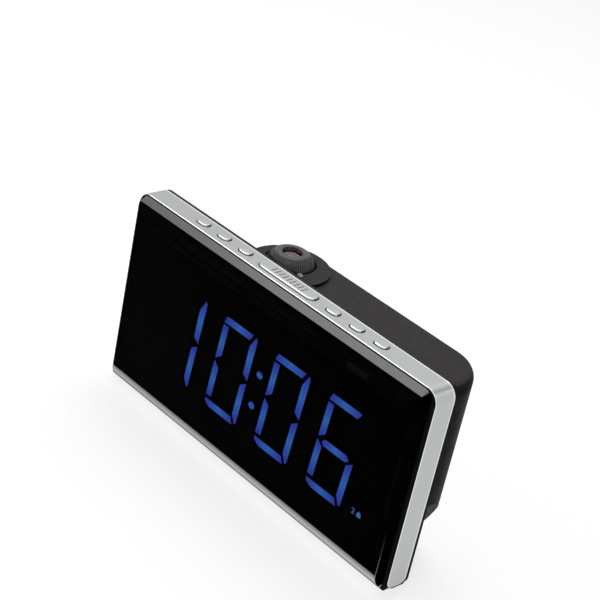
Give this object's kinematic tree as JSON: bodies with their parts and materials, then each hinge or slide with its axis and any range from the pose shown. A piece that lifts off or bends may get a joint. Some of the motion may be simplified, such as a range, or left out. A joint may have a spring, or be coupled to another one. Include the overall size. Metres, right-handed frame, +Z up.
{
  "type": "projection alarm clock",
  "caption": "Desk alarm clock with a wide dark display panel in a silver band, buttons along its top, a rear housing and a swivelling ball projector with a focus ring.",
  "frame": {"origin": "centre of the object's bounding box, on the surface that its rubber feet stand on", "axes": "+X to the reader's right along the panel, +Y back from the display, +Z up"},
  "size_m": [0.19, 0.0456, 0.1012],
  "materials": {
    "lens_black": "polished, nearly opaque",
    "case_black": "fine texture",
    "silver_paint": "satin silver paint",
    "foot_rubber": "matte",
    "circuit_board": "lacquered glass-fibre board",
    "switch_black": "moulded",
    "lit_blue": "lit light pipe",
    "unlit_dark": "unlit light pipe",
    "reflector_black": "moulded",
    "lamp_clear": "small lamp bodies",
    "cable_white": "flat cable",
    "chip_black": "moulded",
    "screw_steel": "plated",
    "speaker_steel": "plated",
    "speaker_paper": "pressed paper",
    "magnet_grey": "ferrite",
    "cell_sleeve": "plain printed sleeve without text",
    "contact_steel": "plated",
    "pin_brass": "plated",
    "projector_black": "fine texture",
    "film_dark": "smooth",
    "lamp_red": "clear red",
    "lens_clear": "clear",
    "index_grey": "smooth"
  },
  "bodies": {
    "case": {"backup_batteries": "cell_sleeve", "battery_contacts": "contact_steel", "battery_tray": "case_black", "board_parts": "chip_black", "board_screws": "screw_steel", "case_screws": "screw_steel", "display_board": "circuit_board", "display_leds": "lamp_clear", "display_reflector": "reflector_black", "display_ribbon": "cable_white", "focus_index": "index_grey", "front_frame": "case_black", "front_lens": "lens_black", "key_board": "circuit_board", "key_ribbon": "cable_white", "lit_segments": "lit_blue", "main_board": "circuit_board", "power_socket": "switch_black", "projector_yoke": "case_black", "rear_cover": "case_black", "rubber_feet": "foot_rubber", "silver_band": "silver_paint", "socket_pin": "pin_brass", "speaker_cone": "speaker_paper", "speaker_frame": "speaker_steel", "speaker_magnet": "magnet_grey", "tact_switches": "switch_black", "unlit_segments": "unlit_dark"},
    "snooze_bar": {"snooze_bar": "silver_paint"},
    "projector": {"projector_ball": "projector_black", "projector_film": "film_dark", "projector_led": "lamp_red", "lamp_board": "circuit_board"},
    "focus": {"focus_ring": "projector_black", "projector_lens": "lens_clear"},
    "battery_door": {"battery_door": "case_black"},
    "left_button_1": {"left_button_1": "silver_paint"},
    "left_button_2": {"left_button_2": "silver_paint"},
    "left_button_3": {"left_button_3": "silver_paint"},
    "right_button_1": {"right_button_1": "silver_paint"},
    "right_button_2": {"right_button_2": "silver_paint"},
    "right_button_3": {"right_button_3": "silver_paint"}
  },
  "joints": [
    {"name": "snooze_bar_press", "type": "slide", "parent": "case", "child": "snooze_bar", "axis": [0, 0, -1], "range_m": [0, 0.0006], "stiffness_N_per_m": 2000},
    {"name": "left_button_1_press", "type": "slide", "parent": "case", "child": "left_button_1", "axis": [0, 0, -1], "range_m": [0, 0.0006], "stiffness_N_per_m": 2000},
    {"name": "left_button_2_press", "type": "slide", "parent": "case", "child": "left_button_2", "axis": [0, 0, -1], "range_m": [0, 0.0006], "stiffness_N_per_m": 2000},
    {"name": "left_button_3_press", "type": "slide", "parent": "case", "child": "left_button_3", "axis": [0, 0, -1], "range_m": [0, 0.0006], "stiffness_N_per_m": 2000},
    {"name": "right_button_1_press", "type": "slide", "parent": "case", "child": "right_button_1", "axis": [0, 0, -1], "range_m": [0, 0.0006], "stiffness_N_per_m": 2000},
    {"name": "right_button_2_press", "type": "slide", "parent": "case", "child": "right_button_2", "axis": [0, 0, -1], "range_m": [0, 0.0006], "stiffness_N_per_m": 2000},
    {"name": "right_button_3_press", "type": "slide", "parent": "case", "child": "right_button_3", "axis": [0, 0, -1], "range_m": [0, 0.0006], "stiffness_N_per_m": 2000},
    {"name": "projector_tilt", "type": "hinge", "parent": "case", "child": "projector", "pos_m": [-0.0182, 0.00575, 0.0934], "axis": [1, 0, 0], "range_deg": [-20, 20]},
    {"name": "focus_turn", "type": "hinge", "parent": "projector", "child": "focus", "pos_m": [-0.0182, 0.00575, 0.0934], "axis": [0, 0, 1], "range_deg": [-60, 60]},
    {"name": "battery_door_pull", "type": "slide", "parent": "case", "child": "battery_door", "axis": [0, 1, 0], "range_m": [0, 0.012]}
  ]
}
